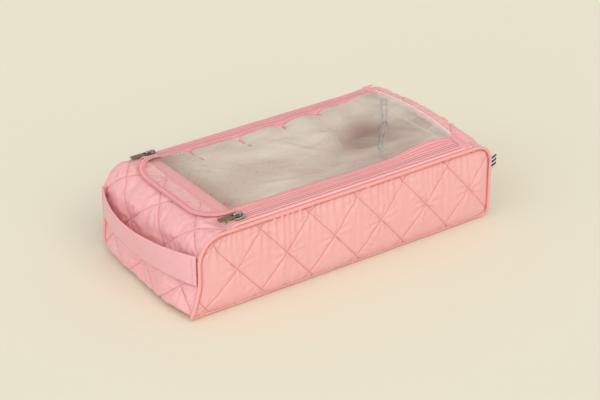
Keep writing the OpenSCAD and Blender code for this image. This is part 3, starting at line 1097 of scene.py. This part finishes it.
# %% Binding round the free end
TURN_R, TURN_Y = 28.5, 36.0
BINDING_HALF = 2.9
ARC = TURN_R * math.pi / 2
BAND_PATH = [3.0, ARC, 2 * TURN_Y, ARC, 3.0]


def band_path(s):
    """Middle line of the binding: along the near edge, round both corners and back."""
    a, b, c, d, _ = BAND_PATH
    if s < a:
        return TURN_X + a - s, -TURN_Y - TURN_R, (0, -1)
    s -= a
    if s < b:
        g = s / TURN_R
        n = (-math.sin(g), -math.cos(g))
        return TURN_X + TURN_R * n[0], -TURN_Y + TURN_R * n[1], n
    s -= b
    if s < c:
        return TURN_X - TURN_R, -TURN_Y + s, (-1, 0)
    s -= c
    if s < d:
        g = s / TURN_R
        n = (-math.cos(g), math.sin(g))
        return TURN_X + TURN_R * n[0], TURN_Y + TURN_R * n[1], n
    return TURN_X + s - d, TURN_Y + TURN_R, (0, 1)


def binding_place(s, t):
    """The binding is a band folded round the film's edge, so it is thickest along its middle."""
    x, y, n = band_path(s)
    x, y = x + n[0] * t, y + n[1] * t
    puffed = 0.7 - 0.7 * (t / BINDING_HALF) ** 2
    return x, y, lid(x, min(WINDOW_HALF, max(-WINDOW_HALF, y))) + 0.15 + puffed * 0.8


ribbon("flap_binding_band", (0, sum(BAND_PATH)), (-BINDING_HALF, BINDING_HALF), (2.4, 0.9),
       binding_place, 0.9, binding_cloth, "flap", "flap_binding")
print("binding is", round(sum(BAND_PATH)), "mm long")

# %% Zip tapes


def far_drop(t, sign):
    """The far tape's outer edge comes down to meet the far piping."""
    return FAR_DROP * smooth((t - 80) / 4.5) if sign > 0 else 0.0


def outer_place(sign):
    def place(x, t):
        sag = 0.12 * math.sin(x * 0.21 + sign) * (1 - abs(t - 79) / 5)
        tucked_end = 5.0 * smooth((-126 - x) / 14)
        return x, sign * t * 1.003, lid(x, sign * t) + sag - tucked_end - far_drop(t, sign)
    return place


def inner_place(sign):
    def place(x, t):
        return x, sign * t, lid(x, sign * t) - 0.25 * smooth((71 - t) / 3)
    return place


for name, sign in (("near", -1), ("far", 1)):
    ribbon(f"zip_tape_outer_{name}_tape", (OUTER_LOW[0] - 17, OUTER_HIGH[0]), (ZIP_Y + 0.4, 84.4),
           (3, 0.9), outer_place(sign), 0.6, tape_cloth, "bag", f"zip_tape_outer_{name}")
    ribbon(f"zip_tape_inner_{name}_tape", (INNER_LOW[0] - 11, INNER_HIGH[0]), (67.0, ZIP_Y - 0.4),
           (3, 0.9), inner_place(sign), 0.6, tape_cloth, FOLDING, f"zip_tape_inner_{name}")

# %% Hem of the front strip, and the tabs over the zips' ends
HEM_LOW, HEM_HIGH = box_mm("front_hem_band")


def hem_place(x, y):
    """The hem lies flat, just under the film."""
    uneven = 0.25 * noise.noise(Vector((x, y * 0.1, 0)))
    return x, y, min(lid(x, y) - 1.4, HEM_HIGH[2] + 0.4) + uneven


ribbon("front_hem_band_fold", (HEM_LOW[0] - 1.5, HEM_HIGH[0]), (-66, 66), (1.6, 3), hem_place,
       1.4, hem_cloth, "bag", "front_hem_band")
TAB_LOW, TAB_HIGH = box_mm("zip_end_tab_near")
TAB_W = 7.5


def tab_place(sign):
    def place(x, t):
        round_off = 0.9 * abs((x - TAB_LOW[0]) / TAB_W * 2 - 1) ** 3
        return x, sign * t, lid(x, sign * t) + 0.95 - far_drop(t, sign) - round_off
    return place


for name, sign in (("near", -1), ("far", 1)):
    ribbon(f"zip_end_tab_{name}_fold", (TAB_LOW[0], TAB_LOW[0] + TAB_W),
           (-TAB_HIGH[1] - 1, SEAM_Y + 0.1), (1.0, 1.6), tab_place(sign), 0.9, hem_cloth, "bag",
           f"zip_end_tab_{name}")
print("end tabs are", TAB_W, "mm wide")

# %% [markdown]
# ### Piping, coils and stitches
#
# Piping and coils are round and long, so each is a tube along a path. The zip coil is one
# thread of nylon wound into a spring and pressed flat, and each half's loops sit between
# the other's. A stitch is a few millimetres of thread between two needle holes, so a row
# of stitches is a row of small beads, drawn out along the seam.

# %% Tubes along a path


def steps(a, b, step=3.0):
    n = max(1, round(abs(b - a) / step))
    return [a + (b - a) * i / n for i in range(n + 1)]


def tube(name, points, radius, material, body, *nodes, closed=False, sides=1):
    curve = bpy.data.curves.new(name, "CURVE")
    curve.dimensions = "3D"
    curve.bevel_depth, curve.bevel_resolution = radius * MM, sides
    curve.use_fill_caps = not closed
    spline = curve.splines.new("POLY")
    spline.points.add(len(points) - 1)
    for p, co in zip(spline.points, points):
        p.co = (*(Vector(co) * MM), 1)
    spline.use_cyclic_u = closed
    maker = link(bpy.data.objects.new(name + "_path", curve))
    graph = bpy.context.evaluated_depsgraph_get()
    mesh = bpy.data.meshes.new_from_object(maker.evaluated_get(graph))
    bpy.data.objects.remove(maker)
    mesh.name = name
    obj = link(bpy.data.objects.new(name, mesh))
    if not mesh.uv_layers:
        mesh.uv_layers.new(name="cloth")
    mesh.uv_layers[0].name = "cloth"
    scale = (sum((Vector(a) - Vector(b)).length for a, b in zip(points, points[1:]))) * MM
    for item in mesh.uv_layers[0].data:
        item.uv = (item.uv[0] * scale, item.uv[1] * radius * 6.28 * MM)
    mesh.shade_smooth()
    return dress(obj, material, body, *nodes)


# %% Piping round both sides


def loop_points(step=3.0):
    """The rounded outline that a side's piping follows, as pairs of x and z."""
    x0, x1 = LOOP_LOW[0] + CORD_R, LOOP_HIGH[0] - CORD_R
    z0, z1 = LOOP_LOW[2] + CORD_R, LOOP_HIGH[2] - CORD_R
    out = []

    def straight(a, b):
        n = max(1, round((Vector(b) - Vector(a)).length / step))
        out.extend(tuple(Vector(a).lerp(Vector(b), i / n)) for i in range(n))

    def bend(cx, cz, r, start):
        n = max(4, round(r * math.pi / 2 / 2))
        for i in range(n):
            g = math.radians(start + 90 * i / n)
            out.append((cx + r * math.cos(g), cz + r * math.sin(g)))

    straight((x0 + R_BOTTOM, z0), (x1 - R_BOTTOM, z0))
    bend(x1 - R_BOTTOM, z0 + R_BOTTOM, R_BOTTOM, 270)
    straight((x1, z0 + R_BOTTOM), (x1, z1 - R_TOP_BACK))
    bend(x1 - R_TOP_BACK, z1 - R_TOP_BACK, R_TOP_BACK, 0)
    straight((x1 - R_TOP_BACK, z1), (x0 + R_TOP_FRONT, z1))
    bend(x0 + R_TOP_FRONT, z1 - R_TOP_FRONT, R_TOP_FRONT, 90)
    straight((x0, z1 - R_TOP_FRONT), (x0, z0 + R_BOTTOM))
    bend(x0 + R_BOTTOM, z0 + R_BOTTOM, R_BOTTOM, 180)
    return out


def piping(name, sign):
    points = []
    for x, z in loop_points():
        tuck = foot_tuck(z) + (1.5 if sign > 0 else 0.0)
        wander = 0.35 * math.sin(x * 0.085 + sign) + 0.2 * math.sin(x * 0.19 + z * 0.1)
        lift = rise(x, 76 * sign) * smooth((z - 74) / 9)
        lift -= FAR_DROP * smooth((z - 50) / 20) if sign > 0 else 0.0
        points.append((x + splay(x, sign * PIPING_Y, z), sign * (PIPING_Y - tuck + wander * 0.6),
                       z + wander * 0.5 * (z > 10) + lift))
    return tube(f"piping_{name}_cord", points, CORD_R - 0.35, piping_cloth, "bag", f"piping_{name}",
                closed=True, sides=4)


piping("near", -1)
piping("far", 1)


def inside_loop(d):
    """The piping's outline drawn in by d."""
    loop = loop_points()
    out = []
    for a, b, c in zip(loop[-1:] + loop[:-1], loop, loop[1:] + loop[:1]):
        t = Vector((c[0] - a[0], c[1] - a[1])).normalized()
        out.append((b[0] - t.y * d, b[1] + t.x * d))
    return out


print("piping loop:", len(loop_points()), "points")

# %% The film's cut edge, a white bead across the fold
cut_vinyl = cloth("cut_vinyl", screen(244, 238, 230), screen(226, 216, 206), sheen=0.0, rough=0.3)
bead = [(FOLD_X + 0.3, y, film_height(137.5, y) + 0.35) for y in range(-60, 61, 4)]
tube("window_film_edge", bead, 0.42, cut_vinyl, "bag", sides=2)

# %% Painted shade along the film's gathers, drawn as thin dark rose rolls
gather_shade_cloth = cloth("gather_shade_cloth", screen(226, 118, 128), screen(206, 88, 100))


def gather_shade_roll(name, x, y0, y1, slant):
    """A thin dark rose roll that follows a gather into the film: painted shade in the gather's
    fold.
    """
    ys = steps(y0, y1, 1.5)
    points = [(x + slant * (y0 - y), y, film_height(x, y) + 0.25) for y in ys]
    return tube(name, points, 0.42, gather_shade_cloth, FOLDING, sides=2)


# Each fold's x, where it starts and ends across the film, and its slant.
GATHER_SHADES = [(-88, 57, 49, 0.15), (-84, 45, 40, 0.3), (-33, 54, 45, 0.1), (-31, 42, 38, 0.5),
          (18, 55, 50, 0.4), (62, 58, 52, 0.6)]
for number, fold in enumerate(GATHER_SHADES):
    gather_shade_roll(f"film_gather_{number}", *fold)
print("folds caught in the film:", len(GATHER_SHADES))

# %% Zip coils
PITCH = 1.5
coil_nylon = cloth("coil_nylon", screen(238, 160, 150), screen(226, 140, 130), rough=0.35,
                   sheen=0.0, slub=0.1)


def coil_points(sign, side, x0, x1):
    """side is +1 for the outer half and -1 for the inner half."""
    points = []
    turns = int((x1 - x0) / PITCH)
    for i in range(turns * 8):
        g = 2 * math.pi * i / 8
        x = x0 + PITCH * i / 8 + (PITCH / 2 if side < 0 else 0.0)
        t = ZIP_Y + side * (1.05 + 1.35 * math.cos(g))
        y = sign * t
        points.append((x, y, lid(x, y) - 1.45 + 0.62 * math.sin(g)))
    return points


for name, sign in (("near", -1), ("far", 1)):
    low, high = box_mm(f"zip_coil_outer_{name}")
    tube(f"zip_coil_outer_{name}_thread", coil_points(sign, 1, low[0], high[0]), 0.32,
         coil_nylon, "bag", f"zip_coil_outer_{name}")
    tube(f"zip_coil_inner_{name}_thread", coil_points(sign, -1, low[0], high[0]), 0.32,
         coil_nylon, FOLDING, f"zip_coil_inner_{name}")

# %% Rows of stitches


def stitch_row(name, points, body, pitch=3.0, length=2.2, radius=0.22):
    """Small threads laid end to end along a line of points."""
    bm = bmesh.new()
    walked, want = 0.0, pitch / 2
    for a, b in zip(points, points[1:]):
        a, b = Vector(a), Vector(b)
        run = (b - a).length
        while run > 0 and want <= walked + run:
            at = a.lerp(b, (want - walked) / run)
            turn = (b - a).to_track_quat("X", "Z").to_matrix().to_4x4()
            size = Matrix.Diagonal((length / 2, radius, radius * 0.8, 1))
            bmesh.ops.create_uvsphere(bm, u_segments=6, v_segments=5, radius=MM,
                                      matrix=Matrix.Translation(at * MM) @ turn @ size)
            want += pitch
        walked += run
    uv = bm.loops.layers.uv.new("cloth")
    for face in bm.faces:
        for loop in face.loops:
            loop[uv].uv = (loop.vert.co.x, loop.vert.co.y + loop.vert.co.z)
    mesh = bpy.data.meshes.new(name)
    bm.to_mesh(mesh)
    bm.free()
    mesh.shade_smooth()
    return dress(link(bpy.data.objects.new(name, mesh)), thread, body)


# %% Sew the rows


def lifted(place, pairs, up):
    """Points just above a piece's surface, for a row of stitches that lies on it."""
    return [Vector(place(*pair)) + Vector((0, 0, up)) for pair in pairs]


SEWN_END = INNER_HIGH[0] - 1
for name, sign in (("near", -1), ("far", 1)):
    for label, t in (("inner", BAND[1] + 1.1), ("outer", BAND[0] - 1.1)):
        row = lifted(border_place(sign), [(x, t) for x in steps(TURN_X + 4, SEWN_END)], 0.1)
        stitch_row(f"border_{name}_{label}_stitches", row, FOLDING)
    for label, t, body in (("outer", ZIP_Y + 1.9, "bag"), ("inner", ZIP_Y - 1.9, FOLDING),
                           ("seam", ZIP_Y + 5.2, "bag"), ("edge", ZIP_Y - 5.6, FOLDING)):
        place = outer_place(sign) if body == "bag" else inner_place(sign)
        row = lifted(place, [(x, t) for x in steps(INNER_LOW[0] + 4, SEWN_END)], 0.05)
        stitch_row(f"zip_{name}_{label}_stitches", row, body, pitch=1.7, length=1.5, radius=0.32)
for name, sign in (("near", -1), ("far", 1)):
    row = [(x + splay(x, sign * PIPING_Y, z), sign * (PIPING_Y + 0.9 - foot_tuck(z)), z)
           for x, z in inside_loop(2.2) if z > 12]
    stitch_row(f"side_seam_{name}_stitches", row, "bag", pitch=2.4, length=2.3, radius=0.4)
row = lifted(binding_place, [(s, -2.0) for s in steps(0, sum(BAND_PATH), 2.0)], 0.1)
stitch_row("binding_stitches", row, "flap", pitch=2.6, length=2.2, radius=0.3)
row = []
for y in steps(-60, 60):
    x, _, z = over_end(BACK, 3.0, y, BACK_BULGE)
    row.append((x, y, z + 0.5))
stitch_row("back_strip_stitches", row, "bag")
for label, x in (("front", HEM_LOW[0] + 2), ("back", HEM_HIGH[0] - 2.2)):
    stitch_row(f"hem_{label}_stitches", lifted(hem_place, [(x, y) for y in steps(-64, 64)], 0.08),
               "bag")

# %% [markdown]
# ### Strap and tag
#
# The strap is a doubled band sewn into both upright seams of the strap end. It bows out
# far enough for fingers, and its upper edge leans away from the bag.

# %% Strap
STRAP_LOW, STRAP_HIGH = box_mm("handle_strap")
BOW = LOOP_LOW[0] - (STRAP_LOW[0] + 1.1)
HALF = 82.6


def strap_place(s, z):
    """The strap bows out between its sewn ends, sags a little and leans out at the top."""
    f = s / HALF
    up = (z - 52) / 15
    bow = BOW * (1 - f * f)
    lean = (2.4 * up - 1.6 * (1 - up)) * (1 - f * f)
    ripple = (0.7 * noise.noise(Vector((s * 0.05, z * 0.03, 9.0)))
              + 0.35 * noise.noise(Vector((s * 0.09 + z * 0.1, z * 0.16, 3.0)))) * (1 - f ** 4)
    sag = -2.0 * (1 - f * f)
    return LOOP_LOW[0] - 0.6 - bow - lean + ripple, s, z + sag


ribbon("handle_strap_band", (-HALF, HALF), (STRAP_LOW[2], STRAP_HIGH[2]), (4, 3), strap_place,
       1.8, strap_cloth, "bag", "handle_strap", up=(-1, 0, 0))
for label, s in (("near", 3.5 - HALF), ("far", HALF - 3.5)):
    row = [Vector(strap_place(s, z)) + Vector((-0.1, 0, 0))
           for z in steps(STRAP_LOW[2] + 1.5, STRAP_HIGH[2] - 1.5)]
    stitch_row(f"strap_{label}_stitches", row, "bag")

# %% Woven tag


def tag_ribbon():
    mat = bpy.data.materials.new("woven_tag")
    mat.use_nodes = True
    t = mat.node_tree
    bsdf = t.nodes["Principled BSDF"]
    bsdf.inputs["Roughness"].default_value = 0.75
    flat = add_node(t, "UVMap", uv_map="cloth").outputs[0]
    weave = add_node(t, "Group", node_tree=WEAVE)
    t.links.new(flat, weave.inputs["Cloth"])
    weave.inputs["Threads"].default_value = 5200.0
    parts = add_node(t, "SeparateXYZ", {0: flat}).outputs
    stripe = maths(t, "PINGPONG", maths(t, "MULTIPLY", parts[1], 240.0), 0.5)
    dark = maths(t, "GREATER_THAN", stripe, 0.16)
    mix = add_node(t, "Mix", {0: dark, 6: screen(240, 236, 224), 7: screen(46, 44, 46)},
                   data_type="RGBA")
    t.links.new(mix.outputs[2], bsdf.inputs["Base Color"])
    bump = add_node(t, "Bump", {"Height": weave.outputs["Height"], "Distance": 0.0001})
    t.links.new(bump.outputs["Normal"], bsdf.inputs["Normal"])
    return mat


TAG_LOW, TAG_HIGH = box_mm("tag_loop")
TAG_RUN = TAG_HIGH[0] - TAG_LOW[0] + 1.0
TAG_TURN = 3.2


def tag_place(s, z):
    """Out along one face, round the fold and back along the other."""
    y = (TAG_LOW[1] + TAG_HIGH[1]) / 2
    if s < TAG_RUN:
        x, side = s, -1.0
    elif s > TAG_RUN + TAG_TURN:
        x, side = 2 * TAG_RUN + TAG_TURN - s, 1.0
    else:
        g = (s - TAG_RUN) / TAG_TURN * math.pi
        x, side = TAG_RUN + 1.0 * math.sin(g), -math.cos(g)
    return TAG_LOW[0] + x, y + side * 0.95, z + 2.6 * (x / TAG_RUN) ** 2


ribbon("tag_loop_ribbon", (0, 2 * TAG_RUN + TAG_TURN), (TAG_LOW[2], TAG_HIGH[2]), (0.6, 1.2),
       tag_place, 0.35, tag_ribbon(), "bag", "tag_loop", up=(0, -1, 0), offset=0)
print("tag sticks out", round(TAG_RUN, 1), "mm")

# %% [markdown]
# ## Metal
#
# The slider bodies, their bridges and the pulls are cast and plated. Their CAD shapes are
# right, so each is copied, its loose triangles are joined, and its edges are rounded.

# %% Plated metal


def plated(name, colour, rough):
    mat = bpy.data.materials.new(name)
    mat.use_nodes = True
    t = mat.node_tree
    bsdf = t.nodes["Principled BSDF"]
    bsdf.inputs["Metallic"].default_value = 1.0
    place = add_node(t, "TexCoord").outputs["Object"]
    cloudy = add_node(t, "TexNoise", {"Vector": place, "Scale": 380.0, "Detail": 4.0})
    rough_range = add_node(t, "MapRange", {"Value": cloudy.outputs["Fac"], "To Min": rough - 0.08,
                                           "To Max": rough + 0.14})
    t.links.new(rough_range.outputs[0], bsdf.inputs["Roughness"])
    dark = tuple(c * 0.7 for c in colour[:3]) + (1.0,)
    mix = add_node(t, "Mix", {0: cloudy.outputs["Fac"], 6: colour, 7: dark}, data_type="RGBA")
    t.links.new(mix.outputs[2], bsdf.inputs["Base Color"])
    bump = add_node(t, "Bump", {"Height": cloudy.outputs["Fac"], "Distance": 0.00004})
    t.links.new(bump.outputs["Normal"], bsdf.inputs["Normal"])
    return mat


bright_nickel = plated("bright_nickel", screen(206, 200, 192), 0.22)
dark_nickel = plated("dark_nickel", screen(158, 146, 122), 0.34)


def rounded_copy(node, material, body, edge=0.22, shift=(0, 0, 0)):
    bm = bmesh.new()
    bm.from_mesh(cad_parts[node].data)
    bmesh.ops.remove_doubles(bm, verts=bm.verts, dist=1e-6)
    bmesh.ops.dissolve_limit(bm, angle_limit=math.radians(2), verts=bm.verts, edges=bm.edges)
    sharp = [e for e in bm.edges if len(e.link_faces) == 2
             and e.calc_face_angle(0) > math.radians(35)]
    bmesh.ops.bevel(bm, geom=sharp, offset=edge * MM, offset_type="OFFSET", segments=2,
                    profile=0.5, affect="EDGES", material=-1, clamp_overlap=True)
    bmesh.ops.translate(bm, verts=bm.verts, vec=Vector(shift) * MM)
    mesh = bpy.data.meshes.new(node + "_cast")
    bm.to_mesh(mesh)
    bm.free()
    mesh.shade_smooth()
    mesh.set_sharp_from_angle(angle=math.radians(50))
    return dress(link(bpy.data.objects.new(node + "_cast", mesh)), material, body, node)


ON_TAPE = (0, 0, 1.0)
for name in ("near", "far"):
    rounded_copy(f"slider_{name}", bright_nickel, f"slider_{name}", shift=ON_TAPE)
    rounded_copy(f"slider_bridge_{name}", bright_nickel, f"slider_{name}", edge=0.3, shift=ON_TAPE)
    rounded_copy(f"pull_tab_{name}", dark_nickel, f"pull_{name}", edge=0.25, shift=ON_TAPE)
    rounded_copy(f"zip_stop_{name}", bright_nickel, "bag", edge=0.3)
